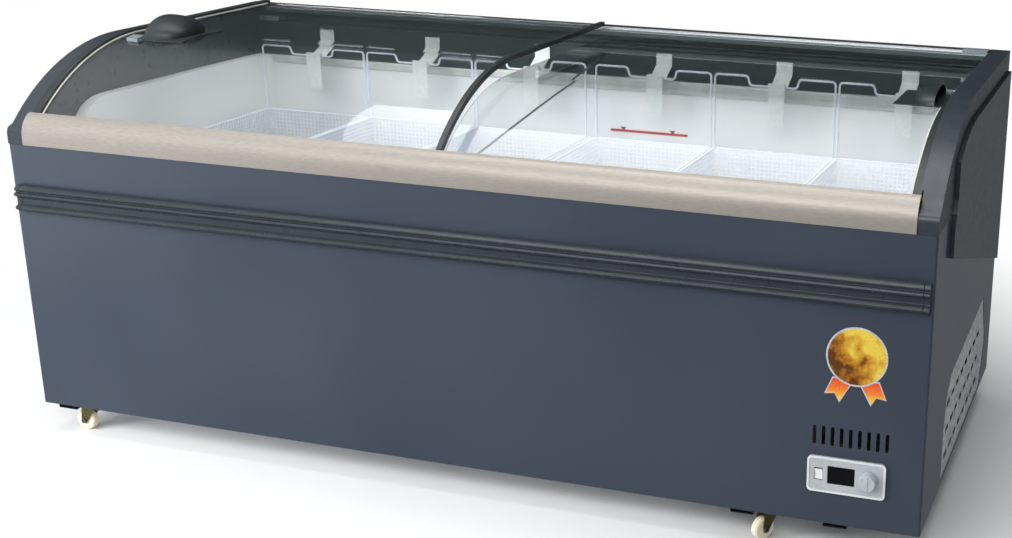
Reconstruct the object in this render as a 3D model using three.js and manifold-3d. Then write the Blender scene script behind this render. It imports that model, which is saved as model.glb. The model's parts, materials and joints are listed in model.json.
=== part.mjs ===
// Supermarket island freezer: an insulated chest with two curved glass lids that slide past each other,
// six hanging wire baskets and a machine compartment at its right-hand end.
// Millimetres, +Z up. X runs along the length, Y from the front panel to the rear, Z up from the floor.
import * as THREE from 'three';
import { mergeVertices } from 'three/addons/utils/BufferGeometryUtils.js';
import Module from 'manifold-3d';

const wasm = await Module();
wasm.setup();

// Cabinet
const GAP = 0.3; // play between pieces that touch
const HALF_LENGTH = 1000;
const DEPTH = 930; // front panel face to rear panel face
const MIDDLE_Y = 453; // half-way between the thermostat knob and the rear panel
const BASE_Z = 70; // underside of the cabinet
const PANEL_TOP = 667; // top edge of the painted panels
const SHEET = 1.2; // painted steel sheet
const CORNER = 5; // bend radius of the front panel's vertical corners
const RETURN_DEPTH = 14; // front panel's side returns
const REAR_PANEL_TOP = 840.7;

// Curved top, seen from the end: an arc in front that runs into a flat rear part
const ARC_Y = 374;
const ARC_Z = 355;
const ARC_RADIUS = 500;
const ARC_STEPS = 14;
const FRONT_ANGLE = 42.2; // degrees from upright at which the lids end in front
const LEDGE_ANGLE = 42.35; // ledge of the front rail that the lids slide on

// Storage well
const WELL_HALF_LENGTH = 930;
const WELL_FRONT = 75;
const WELL_REAR = 860;
const WELL_FLOOR = 130;
const RIM_Z = 734; // rim of the end and rear walls
const RIM_FRONT_Z = 668; // rim of the front wall
const RIM_DROP_FRONT = 150; // where the end walls' rim starts to rise, and where it is level
const RIM_DROP_REAR = 245;
const WELL_CORNER = 16;
const LINER = 1;
const FLANGE = 1;

// Machine compartment
const MACHINE_X = 720;
const MACHINE_TOP = 320;
const BUMP_X = 680; // raised liner floor over the machine
const BUMP_Z = 355;

// End caps
const CAP_INNER_X = 956;
const CAP_WALL = 4;
const CAP_FRONT_X = 961.3; // inner face of the cap's front corner, beside the front rail
const FIELD_OUT = 8; // how far the lower field of the cap stands out from the side panel

// Lids: each is a frame of four bars round a curved pane
const LID_DROP = 37; // how much lower the right-hand lid runs
const LID_OUTER_X = 954;
const LID_LAP = 9; // half of the lids' overlap at the middle
const LID_BAR = 18; // strip at a lid's outer end
const LID_INNER_BAR = 13; // strip at the upper lid's inner end
const LID_TIE = 14;
const LID_REAR = 899;
const STOP_LENGTH = 58; // stop blocks at the far ends of the rear rail's tracks
const HANDLE_HALF_WIDTH = 78;
const HANDLE_HALF_LENGTH = 50;
const HANDLE_WALL = 3;
const HANDLE_SKIRT = 8; // how far the handle's foot reaches down over the bend
const FRAME_OUTER = 10; // frame, above and below the line of the end caps
const FRAME_INNER = -6;
const PANE_OUTER = 3;
const PANE_INNER = -1;
const LOW_HANDLE = LID_DROP - PANE_OUTER + PANE_INNER - GAP - 2.5; // passes under the upper lid

// Baskets
const BASKET_PITCH = 302.5;
const BASKET_STARTS = [-906, 20]; // left edge of each group of three
const BASKET_WIRE = 5;
const BASKET_PLAY = 2.2; // on each side, between neighbours
const BASKET_FRONT = 82;
const BASKET_REAR = 802.5;
const BASKET_BOTTOM = 400;
const BASKET_RIM = 600;
const GUARD_TOP = 775;
const GUARD_LOW = 753; // dipped middle part of the guard
const CLIP_WIDTH = 40;
const CLIP_THICKNESS = 1.6;
const LEDGE_TOP = BASKET_RIM - BASKET_WIRE - GAP; // moulded ledge that carries the baskets in front
const LEDGE_REAR = 90;

// Control panel and its neighbours on the front panel
const PANEL_X = [777, 930];
const PANEL_Z = [138, 212];
const KNOB = [897, 175]; // x and z of the thermostat knob's centre
const KNOB_RADIUS = 19;
const SWITCH = [799, 175];
const DISPLAY_X = [817, 870];
const DISPLAY_Z = [157, 194];
const SLOT_COUNT = 9;
const SLOT_FIRST_X = 787.5;
const SLOT_PITCH = 17.6;
const SLOT_Z = [234, 273];
const SLOT_WIDTH = 7;
const ROSETTE = [863, 420];
const ROSETTE_RADIUS = 59;

// Base
const CHANNEL_X = [-979, 617, 806];
const CHANNEL_WIDTH = 47;
const CHANNEL_HEIGHT = 18;
const WHEEL_RADIUS = 24;
const WHEEL_WIDTH = 18;
const AXLE_RADIUS = 3.5;
const SWIVEL_OFFSET = 14;
const CASTERS = [
  // name, x, y, direction the wheel trails in degrees
  ['front_left', -908, 40, 180],
  ['front_right', 690, 40, 235],
  ['rear_left', -908, 875, 180],
  ['rear_right', 690, 875, 235],
];

const metal = (color, roughness) => new THREE.MeshStandardMaterial({ color, roughness, metalness: 1 });
const plain = (color, roughness) => new THREE.MeshStandardMaterial({ color, roughness, metalness: 0 });
const pane = (color, opacity) =>
  new THREE.MeshStandardMaterial({ color, roughness: 0.05, metalness: 0, transparent: true, opacity });

const COATED_SLATE = plain('#50565f', 0.2);
const CAP_PLASTIC = plain('#41464d', 0.35);
const CHAMPAGNE = metal('#d9d3cc', 0.35);
const BARE_ALUMINIUM = metal('#c3c7ca', 0.35);
const DARK_PLASTIC = plain('#34383c', 0.4);
const BLACK_STEEL = plain('#1c1d1f', 0.5);
const FOAM = plain('#e4d9b4', 0.9);
const LINER_WHITE = plain('#e3e6e5', 0.35);
const GREY_PLASTIC = plain('#c4c8c9', 0.4);
const GALVANISED = metal('#b9bcbd', 0.45);
const SILVER_PLASTIC = plain('#c9ccd0', 0.3);
const BLACK_GLOSS = plain('#101214', 0.1);
const WHITE_PLASTIC = plain('#eef0ef', 0.35);
const GOLD_FOIL = plain('#e0a92f', 0.4);
const GLASS = pane('#dfece8', 0.3);
const BASKET_WHITE = plain('#eceff2', 0.4);
const CLEAR_PLASTIC = pane('#dde2e0', 0.6);
const ZINC = metal('#c9b35a', 0.35);
const NYLON = plain('#efe8cf', 0.45);
const STEEL = metal('#8d9194', 0.35);

const freezer = new THREE.Group();
const cabinet = new THREE.Group();
cabinet.position.y = -MIDDLE_Y;
freezer.add(cabinet);

function add(name, geometry, material) {
  const mesh = new THREE.Mesh(geometry, material);
  mesh.name = name;
  cabinet.add(mesh);
}

// --- shape helpers -----------------------------------------------------------------------------------

function extrude(outline, depth, holes) {
  const shape = new THREE.Shape(outline.map(([u, v]) => new THREE.Vector2(u, v)));
  for (const hole of holes) {
    shape.holes.push(new THREE.Path(hole.map(([u, v]) => new THREE.Vector2(u, v))));
  }
  return new THREE.ExtrudeGeometry(shape, { depth, bevelEnabled: false });
}

// An outline in (y, z) carried from x0 to x1.
function alongX(outline, x0, x1, holes = []) {
  const turn = new THREE.Matrix4().set(0, 0, 1, x0, 1, 0, 0, 0, 0, 1, 0, 0, 0, 0, 0, 1);
  return extrude(outline, x1 - x0, holes).applyMatrix4(turn);
}

// An outline in (x, z) carried from y0 to y1.
function alongY(outline, y0, y1, holes = []) {
  const turn = new THREE.Matrix4().set(1, 0, 0, 0, 0, 0, -1, y1, 0, 1, 0, 0, 0, 0, 0, 1);
  return extrude(outline, y1 - y0, holes).applyMatrix4(turn);
}

// An outline in (x, y) carried from z0 to z1.
function alongZ(outline, z0, z1, holes = []) {
  return extrude(outline, z1 - z0, holes).translate(0, 0, z0);
}

function box(x0, x1, y0, y1, z0, z1) {
  const geometry = new THREE.BoxGeometry(x1 - x0, y1 - y0, z1 - z0);
  return geometry.translate((x0 + x1) / 2, (y0 + y1) / 2, (z0 + z1) / 2);
}

function rectangle(u0, u1, v0, v1) {
  return [[u0, v0], [u1, v0], [u1, v1], [u0, v1]];
}

// Points on an arc about (u, v), from one angle to another in degrees.
function arc(u, v, radius, from, to, steps) {
  const points = [];
  for (let i = 0; i <= steps; i += 1) {
    const angle = THREE.MathUtils.degToRad(from + ((to - from) * i) / steps);
    points.push([u + radius * Math.cos(angle), v + radius * Math.sin(angle)]);
  }
  return points;
}

function roundedRectangle(u0, u1, v0, v1, radius, steps = 4) {
  return [
    ...arc(u1 - radius, v0 + radius, radius, -90, 0, steps),
    ...arc(u1 - radius, v1 - radius, radius, 0, 90, steps),
    ...arc(u0 + radius, v1 - radius, radius, 90, 180, steps),
    ...arc(u0 + radius, v0 + radius, radius, 180, 270, steps),
  ];
}

// A bent strip of even thickness: the line is its left-hand face and the other face lies to the right.
function strip(line, thickness) {
  const normals = line.slice(1).map(([u, v], i) => {
    const along = new THREE.Vector2(u - line[i][0], v - line[i][1]).normalize();
    return new THREE.Vector2(along.y, -along.x);
  });
  const other = line.map(([u, v], i) => {
    const before = normals[Math.max(i - 1, 0)];
    const after = normals[Math.min(i, normals.length - 1)];
    const mitre = before.clone().add(after);
    mitre.multiplyScalar((2 * thickness) / mitre.lengthSq());
    return [u + mitre.x, v + mitre.y];
  });
  return [...line, ...other.reverse()];
}

function solid(geometry) {
  const bare = geometry.clone();
  bare.deleteAttribute('normal');
  bare.deleteAttribute('uv');
  const merged = mergeVertices(bare, 1e-4);
  return new wasm.Manifold(new wasm.Mesh({
    numProp: 3,
    vertProperties: new Float32Array(merged.attributes.position.array),
    triVerts: new Uint32Array(merged.index.array),
  }));
}

function geometryOf(manifold) {
  const mesh = manifold.getMesh();
  const geometry = new THREE.BufferGeometry();
  geometry.setAttribute('position', new THREE.BufferAttribute(mesh.vertProperties, 3));
  geometry.setIndex(new THREE.BufferAttribute(mesh.triVerts, 1));
  geometry.computeVertexNormals();
  return geometry;
}

function join(...geometries) {
  return geometries.map(solid).reduce((whole, piece) => whole.add(piece));
}

function cut(whole, ...cutters) {
  return cutters.map(solid).reduce((rest, cutter) => rest.subtract(cutter), whole);
}

// A round bar about the X axis at (y, z), from x0 to x1, and its like about the Y axis at (x, z).
function barX(y, z, radius, x0, x1, sides = 16) {
  return alongX(arc(y, z, radius, 0, 360, sides).slice(1), x0, x1);
}

function barY(x, z, radius, y0, y1, sides = 16) {
  return alongY(arc(x, z, radius, 0, 360, sides).slice(1), y0, y1);
}

function barZ(x, y, radius, z0, z1, sides = 24) {
  return alongZ(arc(x, y, radius, 0, 360, sides).slice(1), z0, z1);
}

// --- the curved top ----------------------------------------------------------------------------------

// The point that lies off the end caps' line by an offset, at an angle from upright towards the front.
function onTop(offset, angle) {
  const radians = THREE.MathUtils.degToRad(angle);
  const radius = ARC_RADIUS + offset;
  return [ARC_Y - radius * Math.sin(radians), ARC_Z + radius * Math.cos(radians)];
}

function topLine(offset, frontAngle, rearY) {
  const line = [];
  for (let i = 0; i <= ARC_STEPS; i += 1) line.push(onTop(offset, frontAngle * (1 - i / ARC_STEPS)));
  line.push([rearY, ARC_Z + ARC_RADIUS + offset]);
  return line;
}

function topBand(inner, outer, frontAngle, rearY) {
  return [...topLine(outer, frontAngle, rearY), ...topLine(inner, frontAngle, rearY).reverse()];
}

// The rim of the liner, seen from the end: low in front, rising to the level part.
function rimLine(lift) {
  const rise = arc(RIM_DROP_REAR, RIM_FRONT_Z, 1, 180, 90, 6).map(([y, z]) => [
    RIM_DROP_REAR + (y - RIM_DROP_REAR) * (RIM_DROP_REAR - RIM_DROP_FRONT),
    RIM_FRONT_Z + (z - RIM_FRONT_Z) * (RIM_Z - RIM_FRONT_Z) + lift,
  ]);
  return [[60, RIM_FRONT_Z + lift], ...rise, [WELL_REAR + LINER, RIM_Z + lift]];
}

// --- cabinet shell -----------------------------------------------------------------------------------

// The plan of what fits inside the painted panels.
const INSIDE_X = HALF_LENGTH - SHEET - GAP;
const INSIDE_SHELL = roundedRectangle(
  -INSIDE_X, INSIDE_X, SHEET + GAP, DEPTH - SHEET - GAP, CORNER - SHEET - GAP, 3);

function frontPanel() {
  const corner = (side) => arc(
    side * (HALF_LENGTH - CORNER), CORNER, CORNER, side > 0 ? 0 : 270, side > 0 ? -90 : 180, 4);
  const line = [[HALF_LENGTH, RETURN_DEPTH], ...corner(1), ...corner(-1), [-HALF_LENGTH, RETURN_DEPTH]];
  const sheet = solid(alongZ(strip(line, SHEET), BASE_Z, PANEL_TOP));
  const slots = Array.from({ length: SLOT_COUNT }, (_, i) => {
    const x = SLOT_FIRST_X + i * SLOT_PITCH;
    const half = SLOT_WIDTH / 2;
    return alongY(roundedRectangle(x - half, x + half, ...SLOT_Z, half - 0.01, 3), -5, 5);
  });
  const window = box(PANEL_X[0] + 7, PANEL_X[1] - 7, -5, 5, PANEL_Z[0] + 7, PANEL_Z[1] - 7);
  add('front_panel', geometryOf(cut(sheet, ...slots, window)), COATED_SLATE);
}

// The opening over the machine compartment in the right-hand side panel, in (y, z).
const COVER_OUTLINE = [[235, 80], [233, 194], [252, 258], [297, 291], [760, 306], [840, 177], [790, 77]];

function sidePanels() {
  const outline = rectangle(RETURN_DEPTH + GAP, DEPTH - SHEET - GAP, BASE_Z, PANEL_TOP);
  const outer = HALF_LENGTH;
  add('left_side_panel', alongX(outline, -outer, SHEET - outer), COATED_SLATE);
  add('right_side_panel', alongX(outline, outer - SHEET, outer, [COVER_OUTLINE]), COATED_SLATE);
}

function machineCover() {
  const inside = HALF_LENGTH - SHEET - GAP;
  const plate = solid(box(inside - SHEET, inside, 215, 860, 74, 318));
  const louvres = [];
  for (let row = 0; row < 3; row += 1) {
    for (let column = 0; column < 8; column += 1) {
      const y = 270 + column * 60;
      const z = 110 + row * 58;
      louvres.push(alongX(rectangle(y, y + 42, z, z + 14), inside - 5, inside + 5));
    }
  }
  add('machine_cover', geometryOf(cut(plate, ...louvres)), GALVANISED);
}

function rearPanel() {
  const plate = box(-998.5, 998.5, DEPTH - SHEET, DEPTH, BASE_Z, REAR_PANEL_TOP);
  add('rear_panel', plate, COATED_SLATE);
}

function basePan() {
  const plate = solid(alongZ(INSIDE_SHELL, BASE_Z, BASE_Z + SHEET));
  const intake = Array.from({ length: 5 }, (_, i) => box(760 + i * 34, 780 + i * 34, 120, 360, 60, 80));
  add('base_pan', geometryOf(cut(plate, ...intake)), GALVANISED);
}

function wellPrism(grow, bottom, top, bumpTop) {
  const outline = roundedRectangle(
    -WELL_HALF_LENGTH - grow, WELL_HALF_LENGTH + grow, WELL_FRONT - grow, WELL_REAR + grow, WELL_CORNER + grow);
  const bump = box(BUMP_X - LINER + grow, HALF_LENGTH, 0, DEPTH, 0, bumpTop);
  return cut(solid(alongZ(outline, bottom, top)), bump);
}

// Everything over the rim line, between the front rail and the rear wall.
function overRim(lift) {
  return alongX([...rimLine(lift), [WELL_REAR + LINER, 1200], [60, 1200]], -1100, 1100);
}

function insulation() {
  const lower = alongZ(INSIDE_SHELL, BASE_Z + SHEET + GAP, PANEL_TOP - GAP);
  const middle = box(-995.7, 995.7, 61, 924, PANEL_TOP - 5, RIM_Z - FLANGE - GAP);
  const upper = box(-955.7, 955.7, 866, 928.5, RIM_Z - 10, 808.5);
  const machine = box(MACHINE_X, 1100, -10, DEPTH + 10, 0, MACHINE_TOP);
  const bezelSpace = box(770, 1100, -10, 40, 0, MACHINE_TOP);
  const hollow = wellPrism(LINER + GAP, WELL_FLOOR - LINER - GAP, 1200, BUMP_Z - LINER - GAP);
  const body = cut(join(lower, middle, upper), machine, bezelSpace, overRim(-FLANGE - GAP));
  add('insulation_foam', geometryOf(body.subtract(hollow)), FOAM);
}

function liner() {
  const outer = wellPrism(LINER, WELL_FLOOR - LINER, RIM_Z, BUMP_Z - LINER);
  const inner = wellPrism(0, WELL_FLOOR, 1200, BUMP_Z);
  const flangeOutline = [...rimLine(0), ...rimLine(-FLANGE).reverse()];
  const flange = solid(alongX(flangeOutline, -955.5, 955.5));
  const ledge = solid(box(-885, 885, WELL_FRONT - LINER, LEDGE_REAR, BASKET_RIM - BASKET_WIRE - 5, LEDGE_TOP));
  const whole = cut(outer, overRim(0)).add(flange).subtract(inner).add(ledge);
  add('inner_liner', geometryOf(whole), LINER_WHITE);
}

function rearUpperPanel() {
  add('rear_upper_panel', box(-955.5, 955.5, 862, 865.5, RIM_Z + 1, 808.5), DARK_PLASTIC);
}

// --- rails and end caps ------------------------------------------------------------------------------

const NOSE_Z = 683; // where the front rail's upright face starts to round over
const NOSE_RADIUS = 57.4;
const CAP_NOSE_Z = 688;
const CAP_NOSE_RADIUS = 22;
const CAP_FRONT = [[0, PANEL_TOP + GAP], ...arc(CAP_NOSE_RADIUS, CAP_NOSE_Z, CAP_NOSE_RADIUS, 180, 138, 5)];

function frontRail() {
  const lip = onTop(11.5, LEDGE_ANGLE);
  const line = [
    [66, 672], onTop(-52, LEDGE_ANGLE), lip, [lip[0] - 2.5, lip[1] - 1.5],
    ...arc(NOSE_RADIUS - 2.5, NOSE_Z, NOSE_RADIUS, 124, 180, 9),
    [-2.5, PANEL_TOP + GAP], [14, PANEL_TOP + GAP],
  ];
  const fin = [
    onTop(-14.5, LEDGE_ANGLE + 0.1), onTop(-18.5, LEDGE_ANGLE + 0.1), onTop(-18.5, 41.2), onTop(-14.5, 41.2),
  ];
  const reach = CAP_FRONT_X - GAP;
  const profile = strip(line.reverse(), 2.5);
  add('front_trim_rail', geometryOf(join(alongX(profile, -reach, reach), alongX(fin, -953, 953))), CHAMPAGNE);
}

function rearRail() {
  const reach = 955.5;
  const back = box(-reach, reach, 903, 905.5, 809.2, 853);
  const lowerShelf = box(-reach, reach, 868, 904, 809.2, 811.7);
  const upperShelf = box(-reach, reach, 868, 904, 846, 848.7);
  const upperLip = box(-reach, reach, 868, 870.5, 837.5, 847);
  const upperStop = box(reach - STOP_LENGTH, reach, 872, 904, 848, 859);
  const lowerStop = box(-reach, STOP_LENGTH - reach, 872, 904, 811, 823);
  const rail = join(back, lowerShelf, upperShelf, upperLip, upperStop, lowerStop);
  add('rear_glass_rail', geometryOf(rail), BARE_ALUMINIUM);
  const lipOutline = [[906, 841], [930, 841], [930, 851], [926, 855], [910, 855], [906, 851]];
  add('rear_top_lip', alongX(lipOutline, -955.5, 955.5), CAP_PLASTIC);
}

function endCap(side) {
  const outside = [...CAP_FRONT, ...topLine(0, 45.07, 928.5), [928.5, PANEL_TOP + GAP]];
  const inside = [
    [CAP_WALL, 600], [CAP_WALL, 690], ...topLine(-CAP_WALL, 44.9, 928.5 - CAP_WALL), [928.5 - CAP_WALL, 600],
  ];
  const field = [
    [156, 581], [156, 640], [175, 690], ...topLine(-45, 26, 915), [915, 358],
  ];
  const fieldOver = [
    [156, PANEL_TOP + GAP], [165, 674], [175, 690], ...topLine(-45, 26, 915), [915, PANEL_TOP + GAP],
  ];
  const span = (outline, from, to) => (side > 0 ? alongX(outline, from, to) : alongX(outline, -to, -from));
  const body = join(
    span(outside, CAP_INNER_X, HALF_LENGTH),
    span(fieldOver, HALF_LENGTH - 2, HALF_LENGTH + FIELD_OUT),
    span(field, HALF_LENGTH + GAP, HALF_LENGTH + FIELD_OUT),
  );
  const underRim = [...rimLine(GAP), [1100, RIM_Z + GAP], [1100, 500], [60, 500]];
  const cap = cut(
    body,
    span(inside, CAP_INNER_X + CAP_WALL, HALF_LENGTH - CAP_WALL),
    span(underRim, CAP_INNER_X - 5, HALF_LENGTH - CAP_WALL),
    span(rectangle(-10, 76, 600, 736), CAP_INNER_X - 5, CAP_FRONT_X),
  );
  add(side > 0 ? 'right_end_cap' : 'left_end_cap', geometryOf(cap), CAP_PLASTIC);
}

function bumper() {
  const profile = [
    [-GAP, 522], [-9, 522], [-13, 524], [-20, 529], [-22, 532], [-20, 535], [-14, 538], [-11, 541],
    [-11, 552], [-14, 555], [-20, 558], [-22, 561], [-20, 564], [-15, 566], [-15, 568], [-19, 571],
    [-19, 574], [-13, 579], [-9, 580], [-GAP, 580],
  ];
  add('bumper_strip', alongX(profile, -973, 983), CAP_PLASTIC);
  add('bumper_end_left', alongX(profile, -985, -973 - GAP), CAP_PLASTIC);
  add('bumper_end_right', alongX(profile, 983 + GAP, 995), CAP_PLASTIC);
}

// --- controls and sticker ----------------------------------------------------------------------------

function controls() {
  const [x0, x1] = PANEL_X;
  const [z0, z1] = PANEL_Z;
  const bezel = cut(
    join(
      alongY(roundedRectangle(x0, x1, z0, z1, 9), -6, -GAP),
      box(x0 + 8, x1 - 8, -1, 26, z0 + 8, z1 - 8),
    ),
    box(DISPLAY_X[0], DISPLAY_X[1], -10, 3, ...DISPLAY_Z),
    box(SWITCH[0] - 8, SWITCH[0] + 8, -10, 14, SWITCH[1] - 13, SWITCH[1] + 13),
    barY(KNOB[0], KNOB[1], 4, -10, 40),
  );
  add('control_bezel', geometryOf(bezel), SILVER_PLASTIC);
  const display = [DISPLAY_X[0] + GAP, DISPLAY_X[1] - GAP, -4.5, 3 - GAP];
  add('display_window', box(...display, DISPLAY_Z[0] + GAP, DISPLAY_Z[1] - GAP), BLACK_GLOSS);

  const tilt = THREE.MathUtils.degToRad(7);
  const rocker = [[-5, 11], [-3.2, 0], [-5, -11], [4, -8], [4, 8]].map(([y, z]) => [
    y * Math.cos(tilt) - z * Math.sin(tilt), SWITCH[1] + y * Math.sin(tilt) + z * Math.cos(tilt),
  ]);
  add('power_switch', alongX(rocker, SWITCH[0] - 7.5, SWITCH[0] + 7.5), WHITE_PLASTIC);

  const profile = [[0, 0], [3.4, 0], [3.4, 24], [KNOB_RADIUS, 24], [KNOB_RADIUS, 27], [17, 38], [15.5, 40], [0, 40]];
  const knob = new THREE.LatheGeometry(profile.map(([r, h]) => new THREE.Vector2(r, h)), 32);
  knob.rotateX(Math.PI).translate(KNOB[0], 17, KNOB[1]);
  const grip = box(KNOB[0] - 2, KNOB[0] + 2, -24, -20, KNOB[1] - 13, KNOB[1] + 13);
  add('thermostat_knob', geometryOf(solid(knob).add(solid(grip))), SILVER_PLASTIC);
}

function rosette() {
  const [x, z] = ROSETTE;
  const ribbon = (side) => [
    [x + side * 8, z - 40], [x + side * 48, z - 44], [x + side * 58, z - 82],
    [x + side * 40, z - 78], [x + side * 30, z - 95],
  ];
  const disc = alongY(arc(x, z, ROSETTE_RADIUS, 0, 360, 40).slice(1), -0.8, -GAP);
  const ribbons = [-1, 1].map((side) => alongY(ribbon(side), -0.8, -GAP));
  add('rosette_sticker', geometryOf(join(disc, ...ribbons)), GOLD_FOIL);
}

// --- base --------------------------------------------------------------------------------------------

function baseChannels() {
  CHANNEL_X.forEach((x, i) => {
    const top = BASE_Z - GAP;
    const line = [[x, top], [x, BASE_Z - CHANNEL_HEIGHT], [x + CHANNEL_WIDTH, BASE_Z - CHANNEL_HEIGHT],
      [x + CHANNEL_WIDTH, top]];
    add(`base_channel_${i + 1}`, alongY(strip(line, -2), 20, 910), BLACK_STEEL);
  });
}

function caster([name, x, y, trail]) {
  const place = (geometry) => geometry.rotateZ(THREE.MathUtils.degToRad(trail)).translate(x, y, 0);
  const legOutline = [[-11, 61], [17, 61], [SWIVEL_OFFSET + 7, 30], [SWIVEL_OFFSET + 5, 18],
    [SWIVEL_OFFSET - 5, 18], [-11, 48]];
  const legs = [-1, 1].map((side) => (side > 0 ? alongY(legOutline, 10, 12.4) : alongY(legOutline, -12.4, -10)));
  const bridge = box(-11, 17, -12.4, 12.4, 58, 61);
  const stem = barZ(0, 0, 9, 60, BASE_Z - GAP, 16);
  const fork = cut(join(...legs, bridge, stem), barY(SWIVEL_OFFSET, WHEEL_RADIUS, AXLE_RADIUS + GAP, -20, 20));
  add(`caster_fork_${name}`, place(geometryOf(fork)), ZINC);

  const facets = 24;
  const rim = WHEEL_RADIUS / Math.cos(Math.PI / facets);
  const half = WHEEL_WIDTH / 2;
  const bore = AXLE_RADIUS + GAP;
  const profile = [[bore, -half], [rim - 3, -half], [rim, 3 - half], [rim, half - 3], [rim - 3, half],
    [bore, half], [bore, -half]];
  const wheel = new THREE.LatheGeometry(profile.map(([r, h]) => new THREE.Vector2(r, h)), facets);
  wheel.rotateY(Math.PI / facets).translate(SWIVEL_OFFSET, 0, WHEEL_RADIUS);
  add(`caster_wheel_${name}`, place(geometryOf(solid(wheel))), NYLON);

  const axle = join(
    barY(SWIVEL_OFFSET, WHEEL_RADIUS, AXLE_RADIUS, -14, 14),
    barY(SWIVEL_OFFSET, WHEEL_RADIUS, 6, 12.7, 15),
    barY(SWIVEL_OFFSET, WHEEL_RADIUS, 6, -15, -12.7),
  );
  add(`caster_axle_${name}`, place(geometryOf(axle)), STEEL);
}

// --- baskets -----------------------------------------------------------------------------------------

function basket(number, left) {
  const wire = BASKET_WIRE;
  const x0 = left + BASKET_PLAY;
  const x1 = left + BASKET_PITCH - BASKET_PLAY;
  const front = LEDGE_REAR + 1.5;
  const tray = box(x0, x1, front, BASKET_REAR, BASKET_BOTTOM, BASKET_RIM);
  const lip = box(x0, x1, BASKET_FRONT, front + 1, BASKET_RIM - wire, BASKET_RIM);
  const inside = box(x0 + wire, x1 - wire, front + wire, BASKET_REAR - wire, BASKET_BOTTOM + 3, BASKET_RIM + 10);
  const dipStart = x0 + 0.29 * BASKET_PITCH;
  const dipEnd = x0 + 0.69 * BASKET_PITCH;
  const foot = BASKET_RIM - 1;
  const guardLine = [
    [x0, foot], [x0, GUARD_TOP], [dipStart + wire, GUARD_TOP], [dipStart + wire, GUARD_LOW],
    [dipEnd - wire, GUARD_LOW], [dipEnd - wire, GUARD_TOP], [x1, GUARD_TOP], [x1, foot],
    [x1 - wire, foot], [x1 - wire, GUARD_TOP - wire], [dipEnd, GUARD_TOP - wire], [dipEnd, GUARD_LOW - wire],
    [dipStart, GUARD_LOW - wire], [dipStart, GUARD_TOP - wire], [x0 + wire, GUARD_TOP - wire], [x0 + wire, foot],
  ];
  const guard = alongY(guardLine, BASKET_REAR - wire, BASKET_REAR);
  add(`wire_basket_${number}`, geometryOf(cut(join(tray, lip, guard), inside)), BASKET_WHITE);

  const middle = (dipStart + dipEnd) / 2 + 8;
  const trough = GUARD_LOW - BASKET_WIRE - CLIP_THICKNESS - GAP;
  const line = [
    [860, 800], [860, 772], [812, trough], [795.5, trough], [795.5, 758], [790, 758], [790, 665],
  ];
  const clip = alongX(strip(line, CLIP_THICKNESS), middle - CLIP_WIDTH / 2, middle + CLIP_WIDTH / 2);
  add(`basket_clip_${number}`, clip, CLEAR_PLASTIC);
}

function baskets() {
  BASKET_STARTS.forEach((start, group) => {
    for (let i = 0; i < 3; i += 1) basket(group * 3 + i + 1, start + i * BASKET_PITCH);
  });
  const start = new THREE.Vector3(11, 80, 676);
  const end = new THREE.Vector3(11, 861, 778);
  const rod = new THREE.CylinderGeometry(2.5, 2.5, start.distanceTo(end), 8);
  const along = end.clone().sub(start).normalize();
  rod.applyQuaternion(new THREE.Quaternion().setFromUnitVectors(new THREE.Vector3(0, 1, 0), along));
  const centre = start.clone().add(end).multiplyScalar(0.5);
  add('centre_tie_rod', rod.translate(centre.x, centre.y, centre.z), STEEL);
}

// --- lids --------------------------------------------------------------------------------------------

// A bent pane between end strips, which a thin bar in the rear rail's track ties together. The lower lid has
// no strip at its inner end.
function lid(name, x0, x1, drop, strips, handleX, handleY, handleHeight) {
  const level = ARC_Z + ARC_RADIUS - drop;
  const outerBand = topBand(FRAME_INNER - drop, FRAME_OUTER - drop, FRONT_ANGLE, LID_REAR);
  const innerBand = topBand(PANE_INNER - drop, FRAME_OUTER - drop, FRONT_ANGLE, LID_REAR);
  const [leftBand, rightBand] = handleX < 0 ? [outerBand, innerBand] : [innerBand, outerBand];
  const ends = [alongX(leftBand, x0, x0 + strips[0]), alongX(rightBand, x1 - strips[1], x1)];
  const tie = box(x0, x1, LID_REAR - LID_TIE, LID_REAR, level + PANE_INNER, level + PANE_OUTER);
  add(`${name}_lid_frame`, geometryOf(join(tie, ...ends.filter((end, i) => strips[i] > 0))), DARK_PLASTIC);

  const glass = topBand(PANE_INNER - drop, PANE_OUTER - drop, FRONT_ANGLE, LID_REAR - LID_TIE - GAP);
  const [low, high] = strips.map((width) => (width > 0 ? width + GAP : 0));
  add(`${name}_lid_glass`, alongX(glass, x0 + low, x1 - high), GLASS);
  lidHandle(name, handleX, handleY, level + PANE_OUTER + GAP, drop, handleHeight);
}

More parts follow.
